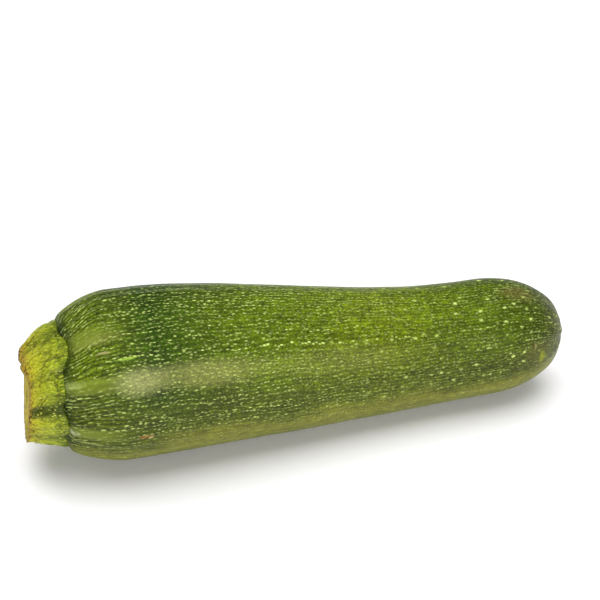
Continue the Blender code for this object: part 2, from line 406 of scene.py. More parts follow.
rested = node(tree, "GeometryNodeSetPosition", {"Geometry": relieved, "Position": pressed})
sealed(tree, rested, inputs["Finish"])
fruit_tree = tree

# Waxy zucchini skin: a thin living cuticle over green cells, grown, not coated. It gives a broad
# soft sheen, and pale flecks where the green cells are missing: dashes in rows by the stalk, small
# dots further on, and sparse round ones at the blossom end.
skin = bpy.data.materials.new("waxy_zucchini_skin")
skin.use_nodes = True
tree = skin.node_tree
surface = tree.nodes["Principled BSDF"]
surface.inputs["IOR"].default_value = 1.45
surface.inputs["Specular IOR Level"].default_value = 0.25
surface.inputs["Specular Tint"].default_value = (1.0, 0.95, 0.70, 1.0)
chart = node(tree, "UVMap", uv_map="round_and_along")
chart = node(tree, "SeparateXYZ", [chart])
around, along = chart.outputs[0], chart.outputs[1]
spot = node(tree, "TexCoord").outputs["Object"]
carried = {}
for key in ("girth", "count", "pitch", "groove", "scar"):
    carried[key] = node(tree, "Attribute", attribute_name=key).outputs["Fac"]

# What changes along the fruit: from one share of its length to another, from a value to another
changing = {}
for key, first, last, before, after in (
    ("twist", 0.0, 0.07, -0.018, 0.0),
    ("dash", 0.03, 0.17, 1.0, 0.70),
    ("lined", 0.01, 0.17, 0.42, 0.13),
    ("late", 0.30, 0.75, 0.0, 1.0),
    ("banded", 0.03, 0.13, 1.0, 0.0),
    ("seamed", 0.003, 0.024, 1.0, 0.0),
):
    share = [along, first, last, before, after]
    changing[key] = node(tree, "MapRange", share, interpolation_type="SMOOTHSTEP").outputs[0]


def unevenness(tree, spot, fields):
    """Noise under each field's name: size of a feature in millimetres, how much longer it is along
    the piece, how detailed, and the lowest and the highest value."""
    made = {}
    for key, size, longer, detail, low, high in fields:
        drawn_out = node(tree, "VectorMath", [spot, (1.0 / longer, 1.0, 1.0)], operation="MULTIPLY")
        noise = node(tree, "TexNoise", {"Vector": drawn_out, "Scale": 1000.0 / size, "Detail": detail})
        made[key] = node(tree, "MapRange", [noise, 0.3, 0.7, low, high]).outputs[0]
    return made


uneven = unevenness(
    tree,
    spot,
    (
        ("wobble", 7.0, 3.0, 1.0, -0.6, 0.6),
        ("stray", 14.0, 1.5, 3.0, -0.022, 0.022),
        ("cloud", 18.0, 2.0, 3.0, 0.84, 1.18),
        ("bands", 3.2, 9.0, 2.0, 0.80, 1.22),
        ("mottle", 1.9, 1.6, 3.0, 0.62, 1.30),
        ("grain", 0.6, 1.0, 2.0, 0.55, 1.38),
        ("ragged", 1.7, 1.0, 2.0, -0.6, 0.6),
    ),
)

# Rows of flecks turn a little as they near the seat, and wander. Each row is divided into cells,
# which hold one fleck each: an ellipse in millimetres, with a size, a place and a paleness of its own.
turned = node(tree, "Math", [around, changing["twist"]], operation="ADD")
row = node(tree, "Math", [turned, float(FLECK_ROWS), uneven["wobble"]], operation="MULTIPLY_ADD")
row_id = node(tree, "Math", [row], operation="ROUND")
row_dice = node(tree, "TexWhiteNoise", {"W": row_id}, noise_dimensions="1D")
row_luck = node(tree, "SeparateXYZ", [row_dice.outputs["Color"]])
placed = node(tree, "Math", [row_luck.outputs[0], 7.0, carried["count"]], operation="MULTIPLY_ADD")
cell_id = node(tree, "Math", [placed], operation="FLOOR")
cell = node(tree, "CombineXYZ", [row_id, cell_id])
dice = node(tree, "TexWhiteNoise", {"Vector": cell}, noise_dimensions="2D")
luck = node(tree, "SeparateXYZ", [dice.outputs["Color"]])
row_width = node(tree, "Math", [carried["girth"], 2000.0 * math.pi / FLECK_ROWS], operation="MULTIPLY")
half_width = node(tree, "Math", [dice.outputs["Value"], 0.16, 0.13], operation="MULTIPLY_ADD")
longer = node(tree, "Math", [luck.outputs[2], 0.62, 0.34], operation="MULTIPLY_ADD")
half_length = node(tree, "Math", [changing["dash"], longer], operation="MULTIPLY")
off = []
for whole, part, draw, play, unit, half in (
    (row, row_id, luck.outputs[0], 0.60, row_width, half_width),
    (placed, cell_id, luck.outputs[1], 0.50, carried["pitch"], half_length),
):
    far = node(tree, "Math", [whole, part], operation="SUBTRACT")
    # A cell's middle is 0 across the rows and 0.5 along them
    least = -play / 2.0 - (0.5 if part is cell_id else 0.0)
    drawn = node(tree, "Math", [draw, play, least], operation="MULTIPLY_ADD")
    far = node(tree, "Math", [far, drawn], operation="ADD")
    far = node(tree, "Math", [far, unit], operation="MULTIPLY")
    off.append(node(tree, "Math", [far, half], operation="DIVIDE"))
away = node(tree, "CombineXYZ", [off[0], off[1]])
away = node(tree, "VectorMath", [away], operation="LENGTH")
dashes = node(tree, "MapRange", [away, 0.4, 1.25, 1.0, 0.0], interpolation_type="SMOOTHSTEP")
paleness = node(tree, "Math", [luck.outputs[2], 1.3], operation="POWER")
paleness = node(tree, "Math", [paleness, 0.90, 0.06], operation="MULTIPLY_ADD")
row_paleness = node(tree, "Math", [row_luck.outputs[1], 0.9, 0.35], operation="MULTIPLY_ADD")
paleness = node(tree, "Math", [paleness, row_paleness], operation="MULTIPLY")
dashes = node(tree, "Math", [dashes, paleness], operation="MULTIPLY")
fading = node(tree, "Math", [changing["late"], -0.45, 1.0], operation="MULTIPLY_ADD")
flecks = node(tree, "Math", [dashes, fading], operation="MULTIPLY")

# Specks all over, and round dots further along: grid in millimetres, radii in its cells, paleness
drawn_out = node(tree, "VectorMath", [spot, (0.6, 1.0, 1.0)], operation="MULTIPLY")
gaps = []
for grid, inner, outer, strength, amount in (
    (1.15, 0.03, 0.36, 0.70, fading),
    (2.3, 0.08, 0.23, 1.0, changing["late"]),
):
    dot = node(tree, "TexVoronoi", {"Vector": drawn_out, "Scale": 1000.0 / grid, "Randomness": 0.95})
    own = node(tree, "SeparateXYZ", [dot.outputs["Color"]])
    gaps.append(node(tree, "Math", [dot.outputs["Distance"], uneven["grain"]], operation="MULTIPLY"))
    dot = node(tree, "MapRange", [gaps[-1], inner, outer, strength, 0.0], interpolation_type="SMOOTHSTEP")
    dot = node(tree, "Math", [dot, amount], operation="MULTIPLY")
    dot = node(tree, "Math", [dot, own.outputs[0]], operation="MULTIPLY")
    flecks = node(tree, "Math", [flecks, dot], operation="MAXIMUM")


def graded(ramp, stops):
    """Fill a colour ramp with its stops: a place and an sRGB hex colour each."""
    while len(ramp.elements) < len(stops):
        ramp.elements.new(0.5)
    for stop, (position, colour) in zip(ramp.elements, stops):
        stop.position = position
        stop.color = linear(colour)


# Greens along the fruit: dark by the stalk, fresh along the middle, olive at the blossom end
ground = node(tree, "ValToRGB", [along])
graded(
    ground.color_ramp,
    (
        (0.0, "#4a5709"),
        (0.08, "#435307"),
        (0.16, "#243b04"),
        (0.36, "#4c5e04"),
        (0.60, "#546203"),
        (0.80, "#485903"),
        (0.93, "#323f03"),
        (1.0, "#414404"),
    ),
)

# The flank is a shade duller. The side that lay on the soil is olive, with few flecks and a calmer tone;
# this is partly the real soil spot and partly a painted reflection of the white table. Turn 0 and 1 are
# underneath, so the soil side is where the turn is far from a half.
strayed = node(tree, "Math", [around, uneven["stray"]], operation="ADD")
off_top = node(tree, "Math", [strayed, 0.5], operation="SUBTRACT")
off_top = node(tree, "Math", [off_top], operation="ABSOLUTE")
under = node(tree, "Math", [along, 0.035, off_top], operation="MULTIPLY_ADD")
flank = node(tree, "MapRange", [off_top, 0.16, 0.24, 0.0, 0.7], interpolation_type="SMOOTHSTEP")
soil_side_and_table_sheen = node(tree, "MapRange", [under, 0.282, 0.338], interpolation_type="SMOOTHSTEP")
painted = node(tree, "Mix", {0: flank, 6: ground, 7: linear("#3d4607")}, data_type="RGBA")
painted = node(tree, "Mix", {0: soil_side_and_table_sheen, 6: painted, 7: linear("#6e7123")}, data_type="RGBA")

# Light and dark bands, clouds and mottles, dark lines between the rows, and a little dark round
# each speck
phase = node(tree, "Math", [row, 2.0 * math.pi], operation="MULTIPLY")
lines = node(tree, "Math", [phase], operation="COSINE")
tone = node(tree, "Math", [lines, changing["lined"], 1.0], operation="MULTIPLY_ADD")
web = node(tree, "MapRange", [gaps[0], 0.25, 0.62, 0.72, 1.16], interpolation_type="SMOOTHSTEP")
tone = node(tree, "Math", [tone, web], operation="MULTIPLY")
for key in ("cloud", "bands", "mottle", "grain"):
    tone = node(tree, "Math", [tone, uneven[key]], operation="MULTIPLY")
calm = node(tree, "Math", [soil_side_and_table_sheen, 0.45], operation="MULTIPLY")
calmed = node(tree, "Mix", {0: calm, 2: tone, 3: 1.0}, data_type="FLOAT")
painted = node(tree, "VectorMath", {0: painted, "Scale": calmed}, operation="SCALE")

# The stalk's ribs run on under the skin as paler, smoother bands, and its grooves by the seat are darkened
# with painted shade
crest = [carried["groove"], 0.00002, 0.00026, 0.62, 0.0]
crested = node(tree, "MapRange", crest, interpolation_type="SMOOTHSTEP")
band = node(tree, "Math", [crested, changing["banded"]], operation="MULTIPLY")
painted = node(tree, "Mix", {0: band, 6: painted, 7: linear("#78862b")}, data_type="RGBA")
# Painted shade in the grooves by the seat
depth = [carried["groove"], 0.0002, 0.0011, 0.45, 0.95]
groove_shade = node(tree, "MapRange", depth, interpolation_type="SMOOTHSTEP")
groove_shade = node(tree, "Math", [groove_shade, changing["seamed"]], operation="MULTIPLY")
painted = node(tree, "Mix", {0: groove_shade, 6: painted, 7: linear("#202f09")}, data_type="RGBA")
fewer = node(tree, "Math", [soil_side_and_table_sheen, -0.62, 1.0], operation="MULTIPLY_ADD")
fewer = node(tree, "Math", [band, -0.8, fewer], operation="MULTIPLY_ADD")
flecks = node(tree, "Math", [flecks, fewer], operation="MULTIPLY")
painted = node(tree, "Mix", {0: flecks, 6: painted, 7: linear("#bed172")}, data_type="RGBA")

# Marks of the fruit's life, and some painted light: degrees round, share along, half width and half length
# in millimetres, how much covers the green, colour. The three broad ones at 148 to 150 degrees are a
# painted highlight along the shoulder.
marks_and_painted_light = (
    (117.0, 0.060, 1.8, 8.0, 0.30, "#8d8f48"),
    # A pale vein by the seat, partly a painted reflection
    (147.0, 0.014, 1.2, 3.5, 0.50, "#9fac63"),
    (146.0, 0.060, 1.0, 6.0, 0.35, "#7e9123"),
    # Painted highlight along the shoulder, in three parts
    (150.0, 0.128, 4.2, 7.5, 0.52, "#a7aa6a"),
    (149.0, 0.250, 4.4, 17.0, 0.42, "#989a52"),
    (148.0, 0.500, 4.6, 26.0, 0.20, "#8f9248"),
    (191.0, 0.006, 1.4, 2.0, 0.65, "#b8bd8f"),
    (198.3, 0.030, 0.4, 3.5, 0.50, "#a7b253"),
    # Painted shade along a fold at a rib's root
    (200.8, 0.040, 0.5, 6.5, 0.60, "#2b3a0d"),
    (133.8, 0.104, 0.35, 3.6, 0.60, "#a4c944"),
    (127.0, 0.070, 0.5, 1.8, 0.50, "#b6a579"),
    (191.5, 0.131, 0.9, 1.9, 0.60, "#9e5e2b"),
    (193.2, 0.140, 0.5, 0.7, 0.80, "#dac68a"),
    (96.0, 0.900, 3.4, 5.5, 0.24, "#866c42"),
    (172.0, 0.925, 4.5, 6.0, 0.45, "#524f14"),
    (182.5, 0.873, 0.9, 0.6, 0.65, "#3a2f0f"),
    (162.5, 0.911, 1.0, 0.4, 0.60, "#443b13"),
    (160.0, 0.918, 1.3, 0.4, 0.50, "#9f9360"),
    (178.5, 0.936, 2.4, 1.2, 0.70, "#8d9613"),
)
for degrees, share, wide, long, cover, colour in marks_and_painted_light:
    far = node(tree, "Math", [around, (degrees + 90.0) / 360.0], operation="SUBTRACT")
    far = node(tree, "Math", [far, carried["girth"]], operation="MULTIPLY")
    far = node(tree, "Math", [far, 2000.0 * math.pi / wide], operation="MULTIPLY")
    on = node(tree, "Math", [along, share], operation="SUBTRACT")
    on = node(tree, "Math", [on, 1000.0 * FRUIT_LENGTH / long], operation="MULTIPLY")
    far = node(tree, "CombineXYZ", [far, on])
    far = node(tree, "VectorMath", [far], operation="LENGTH")
    far = node(tree, "Math", [uneven["ragged"], min(0.8 / wide, 1.0), far], operation="MULTIPLY_ADD")
    mark_and_light = node(tree, "MapRange", [far, 0.3, 1.4, cover, 0.0], interpolation_type="SMOOTHSTEP")
    mark_and_light = node(tree, "Math", [mark_and_light, uneven["grain"]], operation="MULTIPLY")
    painted = node(tree, "Mix", {0: mark_and_light, 6: painted, 7: linear(colour)}, data_type="RGBA")

# The blossom's scar is dry cork with a ragged edge, cracked, and darkest in the middle
scarred = node(tree, "Math", [uneven["ragged"], 0.45, carried["scar"]], operation="MULTIPLY_ADD")
corky = node(tree, "MapRange", [scarred, 0.28, 0.50, 0.0, 0.92], interpolation_type="SMOOTHSTEP")
cracks = node(tree, "MapRange", [uneven["grain"], 0.6, 1.1, 0.85, 0.0], interpolation_type="SMOOTHSTEP")
cork = node(tree, "Mix", {0: cracks, 6: linear("#9c8a58"), 7: linear("#4c3b1c")}, data_type="RGBA")
pit = node(tree, "MapRange", [carried["scar"], 0.72, 0.95, 0.0, 0.8], interpolation_type="SMOOTHSTEP")
cork = node(tree, "Mix", {0: pit, 6: cork, 7: linear("#352712")}, data_type="RGBA")
painted = node(tree, "Mix", {0: corky, 6: painted, 7: cork}, data_type="RGBA")
tree.links.new(painted.outputs[2], surface.inputs["Base Color"])
sheen = node(tree, "MapRange", [uneven["cloud"], 0.8, 1.2, 0.46, 0.38])
sheen = node(tree, "Math", [groove_shade, 0.35, sheen], operation="MULTIPLY_ADD")
tree.links.new(sheen.outputs[0], surface.inputs["Roughness"])
swell = node(tree, "Math", [flecks, 0.6, calmed], operation="MULTIPLY_ADD")
bump = node(tree, "Bump", {"Strength": 0.55, "Distance": 0.00015, "Height": swell})
tree.links.new(bump.outputs[0], surface.inputs["Normal"])

sizes = {"Section": fruit_section, "Finish": skin, **FRUIT_RELIEF}
fruit_mesh = grown(fruit_line, fruit_tree, sockets, sizes)
unrolled(fruit_mesh, "round_and_along", "along")
fruit = in_scene("zucchini_fruit", fruit_mesh)
for helper in (fruit_line, fruit_section):
    bpy.data.objects.remove(helper)
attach(fruit, "root")
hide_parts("fruit")


# The stalk: ribbed and fleshy, what joined the fruit to its vine, cut nearly square with a knife and
# a little dried at the cut. It grows out of the fruit's seat, and is swept from there to the cut.
STALK_LENGTH = 0.0108
CUT_RADIUS = 0.0137
CUT_ASIDE = -0.0013
CUT_DROP = -0.0017
TAPER_POWER = 2.2
SHIFT_POWER = 4.5
CUT_LEAN_ASIDE = 0.09
CUT_LEAN_UP = 0.125
CUT_GROOVES = 0.75
CUT_DISH = 0.0006
EAR_AT = 88.0
EAR_WIDTH = 30.0
EAR_REACH = 0.0029
NOTCH_AT = 95.0
NOTCH_WIDTH = 5.0
NOTCH_DEPTH = 0.0008
LOBE_AT = 58.0
LOBE_WIDTH = 22.0
LOBE_SWELL = 0.0015
BASE_INSET = 0.0003
BASE_BURIED = 0.0004

# Fibres round the stalk and their heights, lumps, creases, and what the ribs and the cut stand out
STALK_RELIEF = {
    "Fibres": 31.0,
    "Fibre height": 0.00018,
    "Fine fibres": 93.0,
    "Fine fibre height": 0.00006,
    "Lump size": 0.004,
    "Lump height": 0.0010,
    "Crease spacing": 0.0030,
    "Crease depth": 0.00035,
    "Rib overhang": 0.0008,
    "Cut roughness": 0.0004,
    "Dried rim": 0.0002,
}

# How many columns the stalk is swept with, and rings across its base, up its wall, over its face
STALK_COLUMNS = 480
BASE_RINGS = 5
WALL_RINGS = 44
FACE_RINGS = 28


def bulge(angle, middle, width, power=2):
    """1 at one angle round the stalk, falling to 0 on both sides of it."""
    off = (math.degrees(angle) - middle + 180.0) % 360.0 - 180.0
    return math.exp(-(abs(off / width) ** power))


def torn(angle):
    """How far the cut edge stands out where the stalk tore, at an angle round it."""
    ear = EAR_REACH * bulge(angle, EAR_AT, EAR_WIDTH, 4)
    return ear - NOTCH_DEPTH * bulge(angle, NOTCH_AT, NOTCH_WIDTH)


points = []
stalk_rings = {key: [] for key in ("toward_cut", "girth", "outness", "buried", "shift")}


def add_stalk_ring(point, *carried):
    """One ring of the stalk: place along it, girth, share of the way out, and of wave and shift."""
    points.append(point)
    for values, value in zip(stalk_rings.values(), carried):
        values.append(value)


forward, side, over = axes(0.0)
base_radius = SEAT_RADIUS - BASE_INSET
for k in range(BASE_RINGS + 1):
    share = k / BASE_RINGS
    place = centre(0.0) + forward * (BASE_BURIED - RING_STEP * k)
    add_stalk_ring(place, 0.0, base_radius * share, share, share, 0.0)
for k in range(1, WALL_RINGS + 1):
    s = k / WALL_RINGS
    girth = base_radius + (CUT_RADIUS - base_radius) * s**TAPER_POWER
    add_stalk_ring(centre(0.0) - forward * (STALK_LENGTH * s), s, girth, 1.0, 1.0, s**SHIFT_POWER)
cut_middle = points[-1]
for k in range(1, FACE_RINGS + 1):
    share = 1.0 - k / FACE_RINGS
    add_stalk_ring(cut_middle - forward * (RING_STEP * k), 1.0, CUT_RADIUS * share, share, 1.0, 1.0)
stalk_line = chain("stalk_line", points, stalk_rings)
turns = [start + 2.0 * math.pi * i / STALK_COLUMNS for i in range(STALK_COLUMNS)]
stalk_section = chain(
    "stalk_section",
    [(math.cos(a), -math.sin(a), 0.0) for a in turns],
    {
        "turn": [a - start for a in turns],
        "groove": [ribbing(a)[0] for a in turns],
        "reach": [ribbing(a)[1] for a in turns],
        "ear": [torn(a) for a in turns],
        "lobe": [LOBE_SWELL * bulge(a, LOBE_AT, LOBE_WIDTH) for a in turns],
    },
    closed=True,
)

tree, sockets, inputs, read, place, off_line, swept = sweep_tree(
    "Cut stalk", STALK_RELIEF, (*stalk_rings, "turn", "groove", "reach", "ear", "lobe")
)
angle = node(tree, "Math", [read["turn"], start], operation="ADD")
started = node(tree, "MapRange", [read["toward_cut"], 0.0, 0.333], interpolation_type="SMOOTHSTEP")
total = node(tree, "Math", [read["toward_cut"], CUT_GROOVES - 1.0, 1.0], operation="MULTIPLY_ADD")
total = node(tree, "Math", [total, read["groove"]], operation="MULTIPLY")
total = node(tree, "Math", [total, -1.0], operation="MULTIPLY")
for count, height in (("Fibres", "Fibre height"), ("Fine fibres", "Fine fibre height")):
    phase = node(tree, "Math", [angle, inputs[count]], operation="MULTIPLY")
    wave = node(tree, "Math", [phase], operation="COSINE")
    tall = node(tree, "Math", [wave, inputs[height]], operation="MULTIPLY")
    tall = node(tree, "Math", [tall, started], operation="MULTIPLY")
    total = node(tree, "Math", [total, tall], operation="ADD")
lumps = node(tree, "VectorMath", [place, (0.45, 1.0, 1.0)], operation="MULTIPLY")
size = node(tree, "Math", [1.0, inputs["Lump size"]], operation="DIVIDE")
lumps = node(tree, "TexNoise", {"Vector": lumps, "Scale": size, "Detail": 2.5})
evened = node(tree, "Math", [lumps, 0.5], operation="SUBTRACT")
evened = node(tree, "Math", [evened, inputs["Lump height"]], operation="MULTIPLY")
total = node(tree, "Math", [total, evened], operation="ADD")

# Creases wind towards the cut. They are kept as an attribute, so that the tissue's colour can paint shade
# in them.
folds = node(tree, "VectorMath", [place, (0.40, 1.0, 1.0)], operation="MULTIPLY")
size = node(tree, "Math", [1.0, inputs["Crease spacing"]], operation="DIVIDE")
folds = node(tree, "TexNoise", {"Vector": folds, "Scale": size, "Detail": 1.5})
folds = node(tree, "Math", [folds, 0.5], operation="SUBTRACT")
folds = node(tree, "Math", [folds], operation="ABSOLUTE")
crease = node(tree, "MapRange", [folds, 0.0, 0.030, 1.0, 0.0], interpolation_type="SMOOTHSTEP")
told = {"Geometry": swept, "Name": "crease", "Value": crease}
creased = node(tree, "GeometryNodeStoreNamedAttribute", told, data_type="FLOAT")
fold = node(tree, "Math", [crease, inputs["Crease depth"]], operation="MULTIPLY")
total = node(tree, "Math", [total, fold], operation="SUBTRACT")

# One rib swells into a lobe towards the cut. At the seam the ribs stand out over the skin, and at
# the cut a dried rim curls out a little.
halfway = node(tree, "Math", [read["toward_cut"], 2.0], operation="POWER")
total = node(tree, "Math", [halfway, read["lobe"], total], operation="MULTIPLY_ADD")
base = node(tree, "MapRange", [read["toward_cut"], 0.0, 0.30, 1.0, 0.0], interpolation_type="SMOOTHSTEP")
crested = node(tree, "MapRange", [read["groove"], 0.0, 0.0009, 1.0, 0.0], interpolation_type="SMOOTHSTEP")
overhang = node(tree, "Math", [base, crested], operation="MULTIPLY")
overhang = node(tree, "Math", [overhang, inputs["Rib overhang"]], operation="MULTIPLY")
total = node(tree, "Math", [total, overhang], operation="ADD")
rim = node(tree, "MapRange", [read["toward_cut"], 0.90, 0.98], interpolation_type="SMOOTHSTEP")
rim = node(tree, "Math", [rim, inputs["Dried rim"]], operation="MULTIPLY")
total = node(tree, "Math", [total, rim], operation="ADD")
total = node(tree, "Math", [total, read["outness"]], operation="MULTIPLY")
outward = node(tree, "VectorMath", [off_line], operation="NORMALIZE")
offset = node(tree, "VectorMath", {0: outward, "Scale": total}, operation="SCALE")
relieved = node(tree, "GeometryNodeSetPosition", {"Geometry": creased, "Offset": offset})

# Along the stalk: the seam's wave, the lean and dish of the cut, the torn ear, the rough cut face
aside = node(tree, "VectorMath", [off_line, tuple(side)], operation="DOT_PRODUCT")
raised = node(tree, "VectorMath", [off_line, tuple(over)], operation="DOT_PRODUCT")
lean = node(tree, "Math", [aside, CUT_LEAN_ASIDE], operation="MULTIPLY")
lean = node(tree, "Math", [raised, CUT_LEAN_UP, lean], operation="MULTIPLY_ADD")
lean = node(tree, "Math", [lean, read["toward_cut"]], operation="MULTIPLY")
late = node(tree, "Math", [read["toward_cut"], 4.0], operation="POWER")
wide = node(tree, "Math", [read["outness"], 3.0], operation="POWER")
ear = node(tree, "Math", [read["ear"], late], operation="MULTIPLY")
ear = node(tree, "Math", [ear, wide], operation="MULTIPLY")
ear = node(tree, "Math", [ear, -1.0], operation="MULTIPLY")
square = node(tree, "Math", [read["buried"], 2.0], operation="POWER")
wave = node(tree, "Math", [read["reach"], square], operation="MULTIPLY")
to_go = node(tree, "Math", [1.0, read["toward_cut"]], operation="SUBTRACT")
wave = node(tree, "Math", [wave, to_go], operation="MULTIPLY")
on_face = node(tree, "Math", [read["toward_cut"], 1.0, 1e-4], operation="COMPARE")
inward = node(tree, "Math", [1.0, read["outness"]], operation="SUBTRACT")
dish = node(tree, "Math", [inward, CUT_DISH], operation="MULTIPLY")
grain = node(tree, "TexNoise", {"Vector": place, "Scale": 700.0, "Detail": 3.0})
grain = node(tree, "Math", [grain, 0.5], operation="SUBTRACT")
grain = node(tree, "Math", [grain, inputs["Cut roughness"]], operation="MULTIPLY")
dish = node(tree, "Math", [dish, grain], operation="ADD")
pit = node(tree, "MapRange", [read["outness"], 0.03, 0.13, 0.0012, 0.0], interpolation_type="SMOOTHSTEP")
dish = node(tree, "Math", [dish, pit], operation="ADD")
dish = node(tree, "Math", [dish, on_face], operation="MULTIPLY")
push = node(tree, "Math", [lean, ear], operation="ADD")
push = node(tree, "Math", [push, wave], operation="ADD")
push = node(tree, "Math", [push, dish], operation="ADD")
shift = node(tree, "VectorMath", {0: tuple(forward), "Scale": push}, operation="SCALE")
cut_shift = tuple(side * CUT_ASIDE + over * CUT_DROP)
set_aside = node(tree, "VectorMath", {0: cut_shift, "Scale": read["shift"]}, operation="SCALE")
shift = node(tree, "VectorMath", [shift, set_aside], operation="ADD")
leaned = node(tree, "GeometryNodeSetPosition", {"Geometry": relieved, "Offset": shift})
sealed(tree, leaned, inputs["Finish"])
stalk_tree = tree

# Fleshy green stalk tissue: satin, fibrous along its length, yellow-green on the ribs and deep green
# between them, darkened there and in its creases with painted shade. By the cut it has dried to tan with
# brown spots, and the cut face is matt.
stem = bpy.data.materials.new("ribbed_stalk_tissue")
stem.use_nodes = True
tree = stem.node_tree
surface = tree.nodes["Principled BSDF"]
surface.inputs["IOR"].default_value = 1.42
surface.inputs["Specular IOR Level"].default_value = 0.40
surface.inputs["Specular Tint"].default_value = (1.0, 0.97, 0.62, 1.0)
spot = node(tree, "TexCoord").outputs["Object"]
carried = {}
for key in ("groove", "crease", "toward_cut", "outness", "turn"):
    carried[key] = node(tree, "Attribute", attribute_name=key).outputs["Fac"]

uneven = unevenness(
    tree,
    spot,
    (
        ("streak", 0.45, 6.0, 3.0, 0.62, 1.45),
        ("blotch", 3.2, 1.6, 2.0, 0.78, 1.24),
        ("thread", 0.9, 9.0, 1.0, 0.0, 1.0),
        ("ragged", 1.2, 1.0, 3.0, -0.05, 0.05),
        ("scab", 1.1, 0.6, 2.0, 0.0, 1.0),
    ),
)
ground = node(tree, "ValToRGB", [carried["toward_cut"]])
greens = ((0.0, "#556810"), (0.14, "#687812"), (0.45, "#86911d"), (0.80, "#98981f"), (1.0, "#a28f1c"))
graded(ground.color_ramp, greens)
tone = node(tree, "Math", [uneven["streak"], uneven["blotch"]], operation="MULTIPLY")
painted = node(tree, "VectorMath", {0: ground, "Scale": tone}, operation="SCALE")

# Pale threads lie along the ribs, and short pale flecks mostly between them
threads = node(tree, "Math", [uneven["thread"], 0.5], operation="SUBTRACT")
threads = node(tree, "Math", [threads], operation="ABSOLUTE")
threads = node(tree, "MapRange", [threads, 0.0, 0.10, 0.55, 0.0], interpolation_type="SMOOTHSTEP")
deep = node(tree, "MapRange", [carried["groove"], 0.0003, 0.0015], interpolation_type="SMOOTHSTEP")
drawn_out = node(tree, "VectorMath", [spot, (0.5, 1.0, 1.0)], operation="MULTIPLY")
flecks = node(tree, "TexVoronoi", {"Vector": drawn_out, "Scale": 1250.0, "Randomness": 1.0})
size = [flecks.outputs["Distance"], 0.12, 0.36, 1.0, 0.0]
flecks = node(tree, "MapRange", size, interpolation_type="SMOOTHSTEP")
amount = node(tree, "Math", [deep, 0.52, 0.20], operation="MULTIPLY_ADD")
flecks = node(tree, "Math", [flecks, amount], operation="MULTIPLY")
# Painted shade: darker in the creases, and a deeper green in the grooves
creased = node(tree, "Math", [carried["crease"], 0.75], operation="MULTIPLY")
groove_green_and_shade = node(tree, "Math", [deep, 0.86], operation="MULTIPLY")
for share, colour in (
    (threads, "#cecf40"),
    (groove_green_and_shade, "#283708"),
    (creased, "#34390a"),
    (flecks, "#dee264"),
):
    painted = node(tree, "Mix", {0: share, 6: painted, 7: linear(colour)}, data_type="RGBA")

# Dried tissue begins unevenly a millimetre before the cut, and is tan with brown scabs
ragged = node(tree, "Math", [carried["toward_cut"], uneven["ragged"]], operation="ADD")
drying = node(tree, "MapRange", [ragged, 0.88, 0.985], interpolation_type="SMOOTHSTEP")
scabs = node(tree, "MapRange", [uneven["scab"], 0.54, 0.80, 0.0, 0.9], interpolation_type="SMOOTHSTEP")
dried = node(tree, "Mix", {0: scabs, 6: linear("#978030"), 7: linear("#45280d")}, data_type="RGBA")
painted = node(tree, "Mix", {0: drying, 6: painted, 7: dried}, data_type="RGBA")

# The cut face: a dry skin at its rim, then pale flesh with a ring of brown bundles, and a small pit
face = node(tree, "ValToRGB", [carried["outness"]])
graded(
    face.color_ramp,
    (
        (0.0, "#463813"),
        (0.07, "#5a4b1c"),
        (0.12, "#a18f2c"),
        (0.45, "#bfb03e"),
        (0.80, "#b0a02c"),
        (0.93, "#a79330"),
        (0.985, "#806d21"),
    ),
)
grain = node(tree, "TexNoise", {"Vector": spot, "Scale": 1400.0, "Detail": 3.0})
grain = node(tree, "MapRange", [grain, 0.3, 0.7, 0.72, 1.25])
face = node(tree, "VectorMath", {0: face, "Scale": grain}, operation="SCALE")
uneven_ring = node(tree, "Math", [uneven["ragged"], 14.0], operation="MULTIPLY")
bundle_turn = node(tree, "Math", [carried["turn"], 20.0, uneven_ring], operation="MULTIPLY_ADD")
bundle_turn = node(tree, "Math", [bundle_turn], operation="COSINE")
bundle_out = node(tree, "Math", [carried["outness"], 0.74], operation="SUBTRACT")
bundle_out = node(tree, "Math", [bundle_out, uneven["ragged"]], operation="ADD")
bundle_out = node(tree, "Math", [bundle_out, 12.0], operation="MULTIPLY")
bundle_turn = node(tree, "Math", [bundle_turn, 1.0], operation="SUBTRACT")
bundle = node(tree, "CombineXYZ", [bundle_turn, bundle_out])
bundle = node(tree, "VectorMath", [bundle], operation="LENGTH")
bundle = node(tree, "MapRange", [bundle, 0.35, 0.95, 0.75, 0.0], interpolation_type="SMOOTHSTEP")
face = node(tree, "Mix", {0: bundle, 6: face, 7: linear("#6a5b25")}, data_type="RGBA")
on_face = node(tree, "Math", [carried["outness"], 0.99], operation="LESS_THAN")
cut_end = node(tree, "Math", [carried["toward_cut"], 0.99], operation="GREATER_THAN")
on_face = node(tree, "Math", [on_face, cut_end], operation="MULTIPLY")
painted = node(tree, "Mix", {0: on_face, 6: painted, 7: face}, data_type="RGBA")
tree.links.new(painted.outputs[2], surface.inputs["Base Color"])
matt = node(tree, "Math", [on_face, 0.50, 0.36], operation="MULTIPLY_ADD")
tree.links.new(matt.outputs[0], surface.inputs["Roughness"])
swell = node(tree, "Math", [uneven["streak"], grain], operation="ADD")
bump = node(tree, "Bump", {"Strength": 0.6, "Distance": 0.00022, "Height": swell})
tree.links.new(bump.outputs[0], surface.inputs["Normal"])

sizes = {"Section": stalk_section, "Finish": stem, **STALK_RELIEF}
stalk_mesh = grown(stalk_line, stalk_tree, sockets, sizes)
unrolled(stalk_mesh, "round_and_along", "toward_cut")
stalk = in_scene("cut_stalk", stalk_mesh)
for helper in (stalk_line, stalk_section):
    bpy.data.objects.remove(helper)
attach(stalk, "root")
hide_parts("stalk")


